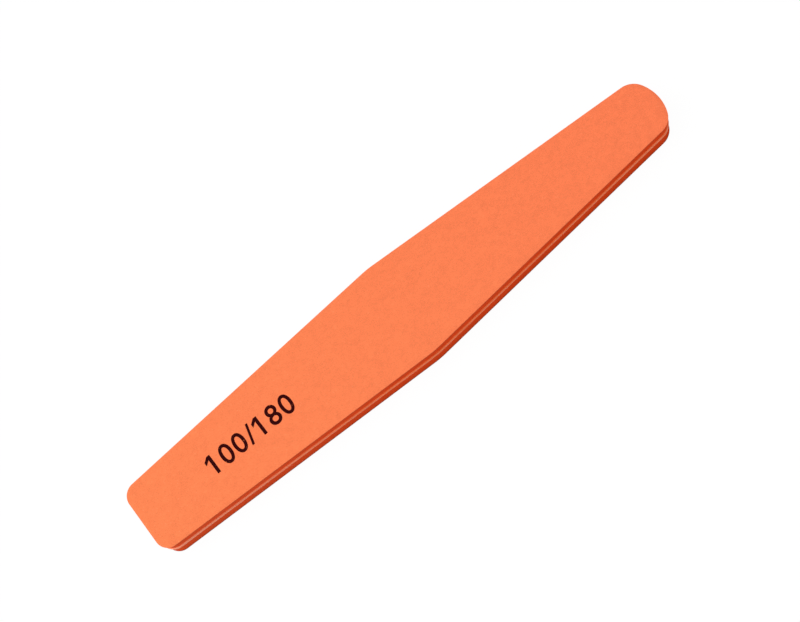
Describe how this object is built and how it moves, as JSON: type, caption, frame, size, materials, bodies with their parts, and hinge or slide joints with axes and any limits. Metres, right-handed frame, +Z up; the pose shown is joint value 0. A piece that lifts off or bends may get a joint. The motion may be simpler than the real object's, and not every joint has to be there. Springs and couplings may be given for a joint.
{
  "type": "nail buffer",
  "caption": "Long double-sided sponge nail buffer board, widest at half its length, with one square end, one round end, orange abrasive faces and foam on a stiff core.",
  "frame": {"origin": "centre of the board's footprint, on the surface that the lower abrasive face rests on", "axes": "+X along the board towards the round end, +Y across it, +Z up through the thickness"},
  "size_m": [0.18, 0.0298, 0.01],
  "materials": {
    "grit": "fine abrasive grit in resin, matte",
    "paper": "dyed backing paper, matte",
    "adhesive": "thin tacky film, satin",
    "foam": "closed-cell foam, matte, fine open cells where it is cut",
    "core": "sheared plastic strip, satin"
  },
  "bodies": {
    "root": {"top_grit_coat": "grit", "top_backing_paper": "paper", "top_adhesive_film": "adhesive", "upper_foam": "foam", "upper_core_adhesive": "adhesive", "core_board": "core", "lower_core_adhesive": "adhesive", "lower_foam": "foam", "bottom_adhesive_film": "adhesive", "bottom_backing_paper": "paper", "bottom_grit_coat": "grit"}
  },
  "joints": []
}
